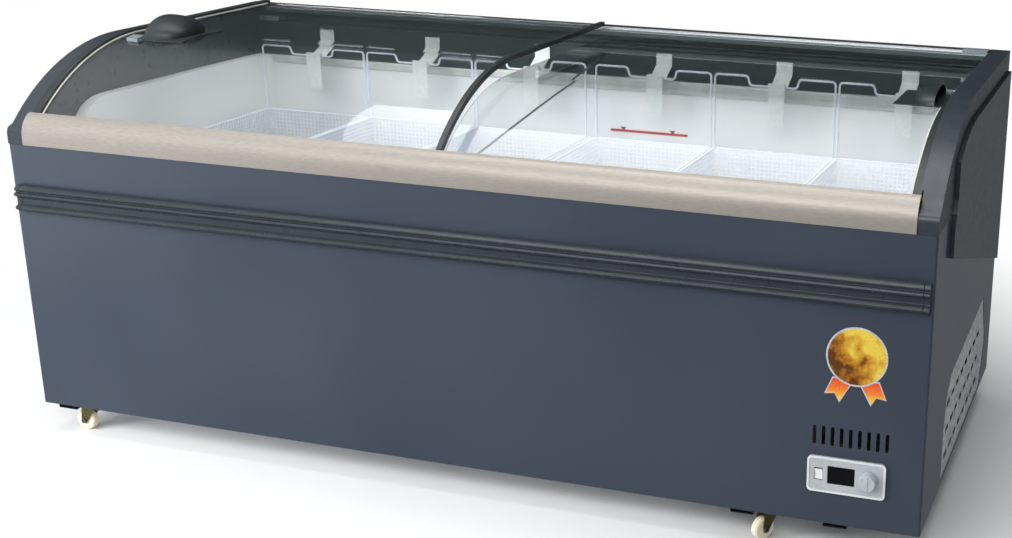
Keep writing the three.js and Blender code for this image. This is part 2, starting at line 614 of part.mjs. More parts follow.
// A low scoop whose mouth faces the end of the freezer. Its roof falls towards the middle of the lid, and its
// foot follows the bent pane.
function lidHandle(name, x, y, z, drop, height) {
  const side = Math.sign(x);
  const foot = z - HANDLE_SKIRT;
  const scoop = (inset, under) => {
    const mouth = x + side * (HANDLE_HALF_LENGTH + (inset ? 1 : 0));
    const tail = x - side * (HANDLE_HALF_LENGTH - 3 * inset);
    const roof = z + height - inset;
    const profile = [[tail, foot - under], [tail + side * 8, z + 5 - inset], [x + side * 8, roof],
      [mouth, roof], [mouth, foot - under]];
    const arch = arc(0, 0, 1, 180, 0, 14).map(([u, v]) => [
      y + u * (HANDLE_HALF_WIDTH - inset), foot - under + v * (height - inset + HANDLE_SKIRT + under)]);
    const reach = HANDLE_HALF_LENGTH + 5;
    return solid(alongY(profile, y - HANDLE_HALF_WIDTH, y + HANDLE_HALF_WIDTH))
      .intersect(solid(alongX(arch, x - reach, x + reach)));
  };
  const pane = topBand(-60 - drop, PANE_OUTER + GAP - drop, 30, 650);
  const shell = scoop(0, 0).subtract(scoop(HANDLE_WALL, 1));
  const trimmed = shell.subtract(solid(alongX(pane, x - HANDLE_HALF_WIDTH, x + HANDLE_HALF_WIDTH)));
  add(`${name}_lid_handle`, geometryOf(trimmed), DARK_PLASTIC);
}

// --- machine -----------------------------------------------------------------------------------------

function machine() {
  const x = 830;
  const y = 640;
  const pot = new THREE.LatheGeometry(
    [[0, 0], [70, 0], [78, 12], [78, 110], [66, 150], [30, 168], [0, 172]].map(([r, h]) => new THREE.Vector2(r, h)), 24);
  pot.rotateX(Math.PI / 2).translate(x, y, 84);
  const feet = box(x - 95, x + 95, y - 60, y + 60, BASE_Z + SHEET + GAP, 90);
  add('compressor', geometryOf(solid(pot).add(solid(feet))), BLACK_STEEL);
  add('condenser', box(940, 978, 230, 520, BASE_Z + SHEET + GAP, 290), BARE_ALUMINIUM);

  const fanY = 375;
  const fanZ = 182;
  const plate = solid(box(915, 935, 230, 520, BASE_Z + SHEET + GAP, 290));
  const throat = barX(fanY, fanZ, 96, 900, 950, 32);
  const arm = box(917, 922, fanY - 6, fanY + 6, fanZ - 100, fanZ + 100);
  const motor = barX(fanY, fanZ, 30, 880, 920, 20);
  add('fan_shroud', geometryOf(cut(plate, throat).add(solid(arm)).add(solid(motor))), BLACK_STEEL);

  const hub = barX(fanY, fanZ, 22, 923, 934, 16);
  const blade = new THREE.BoxGeometry(2, 30, 74);
  const blades = [0, 90, 180, 270].map((angle) => blade.clone().rotateZ(0.3).translate(928.5, fanY, fanZ + 54)
    .translate(-928.5, -fanY, -fanZ).rotateX(THREE.MathUtils.degToRad(angle)).translate(928.5, fanY, fanZ));
  add('fan_blade', geometryOf(join(hub, ...blades)), GREY_PLASTIC);
}

frontPanel();
sidePanels();
machineCover();
rearPanel();
basePan();
insulation();
liner();
rearUpperPanel();
frontRail();
rearRail();
endCap(-1);
endCap(1);
bumper();
controls();
rosette();
baseChannels();
CASTERS.forEach(caster);
baskets();
lid('left', -LID_OUTER_X, LID_LAP, 0, [LID_BAR, LID_INNER_BAR], -812, 370, 42);
lid('right', -LID_LAP, LID_OUTER_X, LID_DROP, [0, LID_BAR], 884, 455, LOW_HANDLE);
machine();

export default freezer;
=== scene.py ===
"""A supermarket island freezer with two curved sliding glass lids and six wire baskets.

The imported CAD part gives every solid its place. This script gives each one its finish, and builds the fine
things that the CAD leaves plain: basket mesh, hooded lid handles, seals, foil rosette and load mark."""

import json
import math

import bmesh
import bpy
from mathutils import Matrix, Vector


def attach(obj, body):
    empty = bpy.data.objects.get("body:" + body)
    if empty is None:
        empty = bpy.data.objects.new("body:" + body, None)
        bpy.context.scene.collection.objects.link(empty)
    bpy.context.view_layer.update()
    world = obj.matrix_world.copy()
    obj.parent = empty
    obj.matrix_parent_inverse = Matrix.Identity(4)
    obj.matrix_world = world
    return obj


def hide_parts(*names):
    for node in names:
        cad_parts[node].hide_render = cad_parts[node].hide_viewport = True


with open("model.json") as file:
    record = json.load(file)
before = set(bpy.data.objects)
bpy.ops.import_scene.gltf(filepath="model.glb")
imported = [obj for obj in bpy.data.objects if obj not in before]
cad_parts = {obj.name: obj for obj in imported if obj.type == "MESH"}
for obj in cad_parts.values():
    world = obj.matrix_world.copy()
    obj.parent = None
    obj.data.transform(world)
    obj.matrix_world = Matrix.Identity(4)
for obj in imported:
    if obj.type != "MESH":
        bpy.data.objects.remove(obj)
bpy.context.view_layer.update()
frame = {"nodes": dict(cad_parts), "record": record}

scene = bpy.context.scene

# Lengths are millimetres: x from the middle, y from the front panel's face, z from the floor.
MM = 0.001
MIDDLE_Y = 453
BODY_OF = {node: body for body, nodes in frame["record"]["behaviour"]["bodies"].items() for node in nodes}
SLOT_OF = {part["node"]: part["material_slot"] for part in frame["record"]["subparts"]}

# The lids, and the ends' tops, follow one arc that runs level to the rear.
ARC_Y = 374
ARC_Z = 355
ARC_RADIUS = 500
ARC_STEPS = 32
LID_DROP = 37
LID_FRONT_ANGLE = 42.2
LID_OUTER_X = 954
LID_BAR = 18
SEAL_REAR = 883
SEAL_WIDTH = 4.5
SEAL_OFFSETS = (2.9, 4.6)
SEAL_GAP = 0.2
SEAL_SHORT_ANGLE = 0.2

PANE_OUTER = 3.4
HANDLE_HALF_LENGTH = 49
HANDLE_HALF_WIDTH = 77
HANDLE_WALL = 3
HANDLE_FLANGE = 2
CATCH_HEIGHT = 8
# Each lid's pull: name, side, middle x, mouth's x, middle y, lid's drop, hood's length, hood's height.
HANDLES = (("left", -1, -812, -861, 370, 0, 84, 42), ("right", 1, 884, 918, 455, LID_DROP, 50, 30))
# Each lid's catch: name, its reach in x and in y, and the lid's drop.
CATCHES = (("left", (-899, -871), (282, 308), 0), ("right", (920, 933), (506, 530), LID_DROP))
HOOD_RINGS = 17
# A hood's plan narrows to a blunt tail by these two powers, and its arch is squarer than a half circle.
HOOD_TAPER = (2.4, 0.42)
HOOD_LEAST = 0.0004
HOOD_ARCH = 0.8

BASKET_STARTS = (-906, 20)
BASKET_PITCH = 302.5
BASKET_PLAY = 2.2
BASKET_FRONT = 82
BASKET_WALL_FRONT = 93
BASKET_REAR = 802.5
BASKET_BOTTOM = 400
BASKET_RIM = 600
GUARD_TOP = 775
GUARD_LOW = 753
# The guard steps down between these two parts of a basket's length.
DIP = (0.29, 0.69)
DIP_LEAN = 1
WALL_DROP = 8
THICK_WIRE = 5
MESH_WIRE = 2.2
MESH_PITCH = 10.5
WIRE_BEND = 9
MESH_BEND = 7
WIRE_SHARP = 65

WELL_HALF_LENGTH = 930
WELL_REAR = 860
ROSETTE = (863, 420)
ROSETTE_RADIUS = 59
ROSETTE_RIM = 3.5
TAIL_REACH = 25
TAIL_TOP = 44
TAIL_FADE = 50
LOAD_BAR = (38, 240)
LOAD_ARROWS = (72, 201)
LOAD_Z = 604
LOAD_BAR_HEIGHT = 6.5
ARROW_HALF_WIDTH = 8
ARROW_TIP = 4
ARROW_TOP = 13
VINYL = 0.4
ARROW_PROUD = 0.2
BREAKER_Z = (713, 732)
BREAKER_DEPTH = 3
BREAKER_LIP = 1
BREAKER_SHORT = 16
TAPE_HALF_LENGTH = 955
TAPE_Y = (862.2, 867.9)
TAPE_Z = (808.55, 809.1)
RAIL_END_X = (897, 955.5)
RAIL_END_Y = (871, 903)
# Each rail end: name, side, and its heights on the upper or the lower shelf.
RAIL_ENDS = (("rail_end_right", 1, (849, 859.6)), ("rail_end_left", -1, (812, 823.6)))
BEZEL_X = (777, 930)
BEZEL_Z = (138, 212)
BEZEL_CORNER = 9
RIM_CORNER = 6
RIM_WIDTH = 4.5
RIM_FRONT = -7.2
RIM_BACK = -5.8

# The camera's place and the floor's lengths are metres, and the camera's turn is yaw, pitch and roll.
CAMERA_PLACE = (1.3769, -2.9727, 1.4140)
CAMERA_TURN = (16.230, -18.353, -1.169)
CAMERA_LENS = 52.69
CAMERA_SHIFT = (-0.236, 0.0122)
FLOOR_HALF = 30
FLOOR_FADE = (1.0, 2.0)


def at(x, y, z):
    """A point of the freezer as the scene's own metres."""
    return Vector((x, y - MIDDLE_Y, z)) * MM


# --- node trees --------------------------------------------------------------------------------------


def linear(colour):
    """An sRGB hex colour as the linear colour that the shaders want."""
    parts = [int(colour[i : i + 2], 16) / 255 for i in (1, 3, 5)]
    return [c / 12.92 if c <= 0.04045 else ((c + 0.055) / 1.055) ** 2.4 for c in parts] + [1.0]


def connect(tree, node, inputs):
    """Sets each input to a value, or links it to another node's output."""
    for key, value in inputs.items():
        if isinstance(value, bpy.types.NodeSocket):
            tree.links.new(value, node.inputs[key])
        else:
            node.inputs[key].default_value = value


def add(tree, kind, inputs=None, **settings):
    """Adds one node with its settings and links."""
    node = tree.nodes.new(kind)
    for key, value in settings.items():
        setattr(node, key, value)
    connect(tree, node, inputs or {})
    return node


def surface(name, **finish):
    """A material of one Principled shader with these uniform values."""
    material = bpy.data.materials.new(name)
    material.use_nodes = True
    shader = material.node_tree.nodes["Principled BSDF"]
    connect(material.node_tree, shader, {key.replace("_", " "): value for key, value in finish.items()})
    return material, material.node_tree, shader


def grain(tree, size, detail=2.0, stretch=(1, 1, 1)):
    """Soft noise from 0 to 1 whose lumps are about size mm, made longer along an axis by stretch."""
    place = add(tree, "ShaderNodeTexCoord").outputs["Object"]
    scale = [1 / (size * MM * longer) for longer in stretch]
    mapped = add(tree, "ShaderNodeMapping", {"Vector": place, "Scale": scale}).outputs[0]
    return add(tree, "ShaderNodeTexNoise", {"Vector": mapped, "Scale": 1.0, "Detail": detail}).outputs[0]


def level(tree, value, low, high, start=0.3, end=0.7):
    """A noise value spread over low to high."""
    spread = {"Value": value, "From Min": start, "From Max": end, "To Min": low, "To Max": high}
    return add(tree, "ShaderNodeMapRange", spread).outputs[0]


def tint(tree, factor, first, second):
    """A colour between two hex colours."""
    colours = {0: level(tree, factor, 0, 1), 6: linear(first), 7: linear(second)}
    return add(tree, "ShaderNodeMix", colours, data_type="RGBA").outputs[2]


def relief(tree, height, depth):
    """A bump whose hills are depth mm high."""
    hills = {"Height": height, "Distance": depth * MM, "Strength": 1.0}
    return add(tree, "ShaderNodeBump", hills).outputs[0]


def colour_stops(node, *stops):
    """Gives a colour ramp its stops, each a position and a hex colour."""
    ramp = node.color_ramp
    while len(ramp.elements) < len(stops):
        ramp.elements.new(0.5)
    for element, (position, colour) in zip(ramp.elements, stops):
        element.position = position
        element.color = linear(colour)


# --- materials ---------------------------------------------------------------------------------------


def powder_coat(name, first, second, rough):
    """Glossy powder coat on sheet steel: deep even colour, reflections softened by a faint orange peel."""
    material, tree, shader = surface(name, Specular_IOR_Level=0.4)
    connect(tree, shader, {
        "Base Color": tint(tree, grain(tree, 420, 1.0), first, second),
        "Roughness": level(tree, grain(tree, 60), rough - 0.02, rough + 0.02),
        "Normal": relief(tree, grain(tree, 9, 1.0), 0.006),
    })
    return material


def moulded(name, first, second, rough, texture=0.01, size=0.8):
    """Injection-moulded plastic: slight clouding of the colour, and a fine grain from the mould."""
    material, tree, shader = surface(name)
    connect(tree, shader, {
        "Base Color": tint(tree, grain(tree, 45), first, second),
        "Roughness": level(tree, grain(tree, 18), rough - 0.04, rough + 0.05),
    })
    if texture:
        connect(tree, shader, {"Normal": relief(tree, grain(tree, size, 1.0), texture)})
    return material


def drawn_aluminium(name, first, second, rough, metallic=1.0):
    """Anodised extrusion: fine lines along its length stretch the highlights across it."""
    material, tree, shader = surface(name, Metallic=metallic, Anisotropic=0.4)
    lines = grain(tree, 0.7, 2.0, (400, 1, 1))
    connect(tree, shader, {
        "Base Color": tint(tree, grain(tree, 2.5, 4.0, (6, 1, 1)), first, second),
        "Roughness": level(tree, lines, rough - 0.05, rough + 0.08),
        "Normal": relief(tree, lines, 0.004),
    })
    return material


def spangled_zinc(name, first, second):
    """Hot-dip galvanised sheet: crystals a centimetre across, each with its own grey and gloss."""
    material, tree, shader = surface(name, Metallic=0.35)
    place = add(tree, "ShaderNodeTexCoord").outputs["Object"]
    warped = add(tree, "ShaderNodeMapping", {"Vector": place, "Scale": [1 / (9 * MM)] * 3}).outputs[0]
    crystal = add(tree, "ShaderNodeTexVoronoi", {"Vector": warped, "Scale": 1.0}).outputs["Color"]
    shade = add(tree, "ShaderNodeSeparateColor", {0: crystal}).outputs[0]
    connect(tree, shader, {
        "Base Color": tint(tree, shade, first, second),
        "Roughness": level(tree, shade, 0.32, 0.5),
        "Normal": relief(tree, grain(tree, 2), 0.01),
    })
    return material


def plated(name, first, second, rough):
    """Plated or bare steel: metallic, faintly blotched where it was handled."""
    material, tree, shader = surface(name, Metallic=1.0)
    connect(tree, shader, {
        "Base Color": tint(tree, grain(tree, 6, 3.0), first, second),
        "Roughness": level(tree, grain(tree, 3), rough - 0.05, rough + 0.08),
        "Normal": relief(tree, grain(tree, 0.6), 0.006),
    })
    return material


def embossed_liner():
    """Pre-painted liner sheet: clean white, with a shallow pebble that scatters the highlights."""
    material, tree, shader = surface("white_liner_sheet")
    connect(tree, shader, {
        "Base Color": tint(tree, grain(tree, 180), "#e3e4e5", "#e9e9e9"),
        "Roughness": level(tree, grain(tree, 20), 0.3, 0.4),
        "Normal": relief(tree, grain(tree, 4.5, 1.0), 0.03),
    })
    return material


def blown_foam():
    """Blown polyurethane: cream, with fine open cells and a matt skin."""
    material, tree, shader = surface("cream_foam")
    connect(tree, shader, {
        "Base Color": tint(tree, grain(tree, 14, 4.0), "#d6c795", "#ebdfb6"),
        "Roughness": level(tree, grain(tree, 5), 0.8, 0.95),
        "Normal": relief(tree, grain(tree, 1.5, 4.0), 0.2),
    })
    return material


def lid_glass():
    """Tempered glass: clear with a green cast, and a breath of haze that softens what it mirrors."""
    material, tree, shader = surface("tempered_glass", Transmission_Weight=1.0, IOR=1.5)
    connect(tree, shader, {
        "Base Color": tint(tree, grain(tree, 300), "#fbfdfd", "#fdfefe"),
        "Roughness": level(tree, grain(tree, 90, 3.0), 0.0, 0.03),
    })
    clear = add(tree, "ShaderNodeBsdfTransparent", {"Color": linear("#fafcfc")})
    shadow = add(tree, "ShaderNodeLightPath").outputs["Is Shadow Ray"]
    both = add(tree, "ShaderNodeMixShader", {0: shadow, 1: shader.outputs[0], 2: clear.outputs[0]})
    tree.links.new(both.outputs[0], tree.nodes["Material Output"].inputs["Surface"])
    return material


def frosted_clip():
    """Unpigmented polycarbonate: milky, with light passing softly through it."""
    material, tree, shader = surface("frosted_polycarbonate", Transmission_Weight=0.2, IOR=1.45)
    connect(tree, shader, {
        "Base Color": tint(tree, grain(tree, 12), "#dfe3e1", "#eef1ef"),
        "Roughness": level(tree, grain(tree, 4), 0.28, 0.42),
        "Normal": relief(tree, grain(tree, 2.5), 0.05),
    })
    return material


def epoxy_wire():
    """White epoxy over welded wire: smooth, slightly blue in the shade, thicker where it has run."""
    material, tree, shader = surface("white_epoxy_wire")
    connect(tree, shader, {
        "Base Color": tint(tree, grain(tree, 30), "#dbe2ee", "#e9edf5"),
        "Roughness": level(tree, grain(tree, 8), 0.3, 0.42),
        "Normal": relief(tree, grain(tree, 6), 0.08),
    })
    return material


def foil(name, first, second, metallic=0.3, rough=0.32):
    """Printed foil: bright ink with a little metal under it."""
    material, tree, shader = surface(name, Metallic=metallic)
    connect(tree, shader, {
        "Base Color": tint(tree, grain(tree, 22), first, second),
        "Roughness": level(tree, grain(tree, 5), rough - 0.06, rough + 0.06),
        "Normal": relief(tree, grain(tree, 7), 0.01),
    })
    return material


def disc_foil():
    """Printed foil of the rosette's disc: marbled brown, gold and yellow, lighter at its upper right."""
    material, tree, shader = surface("marbled_gold_foil", Metallic=0.2)
    place = add(tree, "ShaderNodeTexCoord").outputs["Object"]
    x, _, z = add(tree, "ShaderNodeSeparateXYZ", {0: place}).outputs
    slope = add(tree, "ShaderNodeMath", {0: x, 1: z}, operation="ADD").outputs[0]
    centre = sum(ROSETTE) * MM
    rise = {
        "Value": slope, "To Min": -0.2, "To Max": 0.25,
        "From Min": centre - ROSETTE_RADIUS * MM, "From Max": centre + ROSETTE_RADIUS * MM,
    }
    height = add(tree, "ShaderNodeMapRange", rise).outputs[0]
    marbled = add(tree, "ShaderNodeMath", {0: grain(tree, 26, 4.0), 1: height}, operation="ADD").outputs[0]
    bands = add(tree, "ShaderNodeValToRGB", {0: marbled})
    colour_stops(bands, (0.3, "#6b3d12"), (0.42, "#b8741f"), (0.55, "#dca732"), (0.68, "#f3d552"))
    connect(tree, shader, {
        "Base Color": bands.outputs[0],
        "Roughness": level(tree, grain(tree, 5), 0.24, 0.36),
        "Normal": relief(tree, grain(tree, 7), 0.01),
    })
    return material


def tail_foil():
    """Printed foil of the ribbon tails: orange-red under the disc, running to yellow at the tips."""
    material, tree, shader = surface("orange_to_yellow_foil")
    place = add(tree, "ShaderNodeTexCoord").outputs["Object"]
    z = add(tree, "ShaderNodeSeparateXYZ", {0: place}).outputs[2]
    top = (ROSETTE[1] - TAIL_TOP) * MM
    down = {"Value": z, "From Min": top, "From Max": top - TAIL_FADE * MM}
    fall = add(tree, "ShaderNodeMapRange", down).outputs[0]
    bands = add(tree, "ShaderNodeValToRGB", {0: fall})
    colour_stops(bands, (0.1, "#dd4a22"), (0.5, "#ea7a26"), (0.95, "#f2cf3c"))
    connect(tree, shader, {
        "Base Color": bands.outputs[0],
        "Roughness": level(tree, grain(tree, 5), 0.24, 0.36),
        "Normal": relief(tree, grain(tree, 7), 0.01),
    })
    return material


LOOKS = {
    "coated_slate": powder_coat("slate_powder_coat", "#3b424e", "#404753", 0.16),
    "cap_plastic": moulded("slate_abs", "#31363d", "#363b42", 0.3, 0.0),
    "champagne": drawn_aluminium("champagne_anodised_aluminium", "#a9a199", "#b5aea6", 0.46, 0.5),
    "bare_aluminium": drawn_aluminium("clear_anodised_aluminium", "#c6cacd", "#d6d9db", 0.28),
    "dark_plastic": moulded("charcoal_abs", "#282c2e", "#303538", 0.36, 0.01),
    "black_steel": powder_coat("black_enamel", "#17181a", "#1e2022", 0.32),
    "compressor_shell": powder_coat("black_compressor_enamel", "#141517", "#1c1d1f", 0.3),
    "foam": blown_foam(),
    "liner_white": embossed_liner(),
    "galvanised": spangled_zinc("galvanised_sheet", "#ccd0d4", "#fafbfc"),
    "silver_plastic": moulded("silver_abs", "#adb1b6", "#b9bdc2", 0.28, 0.006),
    "black_gloss": moulded("smoked_window", "#0b0c0e", "#111316", 0.1, 0.0),
    "white_plastic": moulded("white_abs", "#e6e8e7", "#f0f1f0", 0.3, 0.006),
    "glass": lid_glass(),
    "basket_white": epoxy_wire(),
    "clear_plastic": frosted_clip(),
    "zinc": plated("yellow_passivated_zinc", "#8f8450", "#b3a76c", 0.36),
    "nylon": moulded("cream_nylon", "#e9e0c4", "#f2ebd6", 0.42, 0.01),
    "steel": plated("bare_steel", "#85898c", "#9a9ea1", 0.34),
    "grey_plastic": moulded("light_grey_abs", "#bfc3c4", "#cacdce", 0.4, 0.01),
    "shroud": moulded("black_polypropylene", "#191a1c", "#202224", 0.45, 0.02),
}
REAR_BACKING = moulded("bottle_grey_pvc", "#232c2c", "#2b3433", 0.35, 0.02, 6)
REAR_LIP = moulded("matt_black_pvc", "#191b1d", "#1f2224", 0.62, 0.0)
BREAKER = moulded("pearl_pvc", "#b9bdbb", "#d3d6d3", 0.3, 0.15, 14)
TRACK = moulded("dark_anodised_track", "#353f40", "#3c4647", 0.5, 0.004)
# Painted shade: the end caps' faces towards the goods get this darker teal-grey instead of their own slate
# plastic.
CAP_PAINTED_SHADE = moulded("teal_grey_painted_shade", "#1f292d", "#273236", 0.3, 0.02, 6)
# Painted light: the end caps' outer field, the same slate moulding, made lighter as if it mirrored a bright
# surrounding.
FIELD_PAINTED_LIGHT = moulded("satin_slate_abs_painted_light", "#565c61", "#5d6368", 0.36, 0.0)
SEAL = moulded("ivory_vinyl_seal", "#cfcfc4", "#dcdcd2", 0.45)
RED_VINYL = foil("red_vinyl", "#a8202c", "#b82a34", 0.0)
DARK_RED_VINYL = foil("dark_red_vinyl", "#6d1a22", "#7b222a", 0.0)
SILVER_FOIL = foil("silver_foil", "#d9dcdf", "#f1f2f3", 0.4, 0.25)
CATCH_PLASTIC = moulded("slate_grey_abs", "#7f878e", "#8b9399", 0.3, 0.0)
RIM_PLASTIC = moulded("bright_silver_abs", "#d3d7da", "#e0e3e5", 0.22, 0.004)
DISC_FOIL = disc_foil()
TAIL_FOIL = tail_foil()


# --- meshes ------------------------------------------------------------------------------------------


def mesh_from(name, points, faces, edges=()):
    """A plain mesh of points in metres."""
    mesh = bpy.data.meshes.new(name)
    mesh.from_pydata([tuple(p) for p in points], list(edges), list(faces))
    mesh.update()
    return mesh


def evaluated(name, mesh, *steps):
    """The mesh after modifiers, each given as (kind, settings), as a plain mesh of its own."""
    work = bpy.data.objects.new(name, mesh)
    scene.collection.objects.link(work)
    for kind, settings in steps:
        modifier = work.modifiers.new(kind, kind)
        for key, value in settings.items():
            setattr(modifier, key, value)
    graph = bpy.context.evaluated_depsgraph_get()
    made = bpy.data.meshes.new_from_object(work.evaluated_get(graph), depsgraph=graph)
    made.name = name
    bpy.data.objects.remove(work)
    return made


def softened(name, mesh, edge, segments=2, sharp=32):
    """The mesh with edges rounded to edge mm and its curves shaded smooth."""
    mesh.polygons.foreach_set("use_smooth", [True] * len(mesh.polygons))
    mesh.set_sharp_from_angle(angle=math.radians(sharp))
    bevel = {
        "width": edge * MM, "segments": segments, "limit_method": "ANGLE",
        "angle_limit": math.radians(sharp), "harden_normals": True,
    }
    return evaluated(name, mesh, ("BEVEL", bevel))


def merged(node):
    """A CAD solid again, its loose triangles joined and its flat faces made whole."""
    work = bmesh.new()
    work.from_mesh(frame["nodes"][node].data)
    bmesh.ops.remove_doubles(work, verts=work.verts, dist=0.004 * MM)
    bmesh.ops.dissolve_limit(work, angle_limit=math.radians(0.4), verts=work.verts, edges=work.edges)
    work.verts.index_update()
    points = [v.co.copy() for v in work.verts]
    faces = [[v.index for v in face.verts] for face in work.faces]
    work.free()
    return mesh_from(node, points, faces)


def outward(mesh):
    """The same mesh with every face turned to look out."""
    work = bmesh.new()
    work.from_mesh(mesh)
    bmesh.ops.recalc_face_normals(work, faces=work.faces)
    work.to_mesh(mesh)
    work.free()
    return mesh


def prism(name, outline, axis, low, high):
    """A flat outline in mm pushed along x, y or z. The outline holds the other two lengths in order."""
    def point(u, v, w):
        x, y, z = {"x": (w, u, v), "y": (u, w, v), "z": (u, v, w)}[axis]
        return at(x, y, z)

    count = len(outline)
    points = [point(u, v, w) for w in (low, high) for u, v in outline]
    faces = [list(range(count)), list(range(count, 2 * count))]
    faces += [[i, (i + 1) % count, (i + 1) % count + count, i + count] for i in range(count)]
    return outward(mesh_from(name, points, faces))


def block(name, x, y, z):
    """A box between pairs of mm."""
    return prism(name, [(x[0], y[0]), (x[1], y[0]), (x[1], y[1]), (x[0], y[1])], "z", z[0], z[1])


def joined(name, meshes):
    """Several meshes as one. They keep their shading."""
    parts = []
    for mesh in meshes:
        part = bpy.data.objects.new(name, mesh)
        scene.collection.objects.link(part)
        parts.append(part)
    with bpy.context.temp_override(active_object=parts[0], selected_editable_objects=parts):
        bpy.ops.object.join()
    mesh = parts[0].data
    bpy.data.objects.remove(parts[0])
    mesh.name = name
    return mesh


def piece(name, mesh, material, body, slot, *nodes):
    """Puts a finished mesh on a body, and hides the CAD nodes that it stands for."""
    made = bpy.data.objects.new(name, mesh)
    scene.collection.objects.link(made)
    mesh.materials.clear()
    mesh.materials.append(material)
    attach(made, body)
    if nodes:
        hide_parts(*nodes)
    return made


def dress(node, edge, material=None):
    """A CAD solid with rounded edges and its finish."""
    mesh = softened(node + "_finished", merged(node), edge)
    look = material or LOOKS[SLOT_OF[node]]
    return piece(node + "_finished", mesh, look, BODY_OF[node], SLOT_OF[node], node)


# --- wire --------------------------------------------------------------------------------------------


def wire_row_tree():
    """Rounds the corners of a bent line, copies it in a row, and gives the copies the wire's thickness."""
    tree = bpy.data.node_groups.new("wire_row", "GeometryNodeTree")
    sockets = {
        "Line": "NodeSocketGeometry", "Count": "NodeSocketInt", "Step": "NodeSocketVector",
        "Bend": "NodeSocketFloat", "Thickness": "NodeSocketFloat", "Sides": "NodeSocketInt",
        "Material": "NodeSocketMaterial",
    }
    for name, kind in sockets.items():
        tree.interface.new_socket(name, in_out="INPUT", socket_type=kind)
    tree.interface.new_socket("Wires", in_out="OUTPUT", socket_type="NodeSocketGeometry")
    given = add(tree, "NodeGroupInput").outputs
    line = add(tree, "GeometryNodeMeshToCurve", {"Mesh": given["Line"]}).outputs[0]
    corners = {"Curve": line, "Radius": given["Bend"], "Limit Radius": True, "Count": 4}
    bent = add(tree, "GeometryNodeFilletCurve", corners, mode="POLY").outputs[0]
    line_of_copies = {"Count": given["Count"], "Offset": given["Step"]}
    places = add(tree, "GeometryNodeMeshLine", line_of_copies).outputs[0]
    row = add(tree, "GeometryNodeInstanceOnPoints", {"Points": places, "Instance": bent}).outputs[0]
    real = add(tree, "GeometryNodeRealizeInstances", {"Geometry": row}).outputs[0]
    half = add(tree, "ShaderNodeMath", {0: given["Thickness"], 1: 0.5}, operation="MULTIPLY").outputs[0]
    ring = add(tree, "GeometryNodeCurvePrimitiveCircle", {"Resolution": given["Sides"], "Radius": half})
    tube = {"Curve": real, "Profile Curve": ring.outputs[0], "Fill Caps": True}
    solid = add(tree, "GeometryNodeCurveToMesh", tube).outputs[0]
    dressed = add(tree, "GeometryNodeSetMaterial", {"Geometry": solid, "Material": given["Material"]})
    add(tree, "NodeGroupOutput", {"Wires": dressed.outputs[0]})
    return tree


WIRE_ROW = wire_row_tree()


def wires(name, path, thickness, bend, sides, count=1, step=(0, 0, 0), closed=False):
    """One wire along a path of points in mm, or a row of them, as a plain mesh."""
    pairs = [(i, i + 1) for i in range(len(path) - 1)]
    if closed:
        pairs.append((len(path) - 1, 0))
    base = bpy.data.objects.new(name, mesh_from(name, [at(*p) for p in path], [], pairs))
    scene.collection.objects.link(base)
    modifier = base.modifiers.new(name, "NODES")
    modifier.node_group = WIRE_ROW
    values = {
        "Count": count, "Step": [s * MM for s in step], "Bend": bend * MM, "Thickness": thickness * MM,
        "Sides": sides, "Material": LOOKS["basket_white"],
    }
    for item in WIRE_ROW.interface.items_tree:
        if item.name in values:
            modifier[item.identifier] = values[item.name]
    graph = bpy.context.evaluated_depsgraph_get()
    mesh = bpy.data.meshes.new_from_object(base.evaluated_get(graph), depsgraph=graph)
    bpy.data.objects.remove(base)
    mesh.polygons.foreach_set("use_smooth", [True] * len(mesh.polygons))
    mesh.set_sharp_from_angle(angle=math.radians(WIRE_SHARP))
    return mesh


def spaced(low, high, pitch):
    """How many gaps of about pitch fit between low and high, and their exact size."""
    gaps = max(1, round((high - low) / pitch))
    return gaps, (high - low) / gaps


def basket_mesh():
    """A welded basket whose left edge is at x = 0: a mesh tray, a thick rim, and the guard behind."""
    half = THICK_WIRE / 2
    x0, x1 = BASKET_PLAY, BASKET_PITCH - BASKET_PLAY
    left, right = x0 + half, x1 - half
    front, wall, rear = BASKET_FRONT + half, BASKET_WALL_FRONT, BASKET_REAR - half
    rim, floor = BASKET_RIM - half, BASKET_BOTTOM + MESH_WIRE
    dip0, dip1 = (part * BASKET_PITCH for part in DIP)
    top, low = GUARD_TOP - half, GUARD_LOW - half
    guard = [
        (left, rear, rim), (left, rear, top), (dip0 - half, rear, top), (dip0 + half + DIP_LEAN, rear, low),
        (dip1 - half - DIP_LEAN, rear, low), (dip1 + half, rear, top), (right, rear, top), (right, rear, rim),
    ]
    ring = [(left, front, rim), (right, front, rim), (right, rear, rim), (left, rear, rim)]
    across, x_step = spaced(left, right, MESH_PITCH)
    along, y_step = spaced(wall, rear, MESH_PITCH)
    up, z_step = spaced(floor, rim, MESH_PITCH)
    section = [(front, rim), (wall, rim - WALL_DROP), (wall, floor), (rear, floor), (rear, rim)]
    lengthways = [(left, y, z) for y, z in section]
    crossways = [(left, wall, rim), (left, wall, floor), (right, wall, floor), (right, wall, rim)]
    course = [(left, wall, floor), (right, wall, floor), (right, rear, floor), (left, rear, floor)]
    parts = [
        wires("guard", guard, THICK_WIRE, WIRE_BEND, 12),
        wires("rim", ring, THICK_WIRE, WIRE_BEND, 12, closed=True),
        wires("lengthways", lengthways, MESH_WIRE, MESH_BEND, 6, across + 1, (x_step, 0, 0)),
        wires("crossways", crossways, MESH_WIRE, MESH_BEND, 6, along + 1, (0, y_step, 0)),
        wires("courses", course, MESH_WIRE, MESH_BEND, 6, up, (0, 0, z_step), closed=True),
    ]
    return joined("basket", parts)


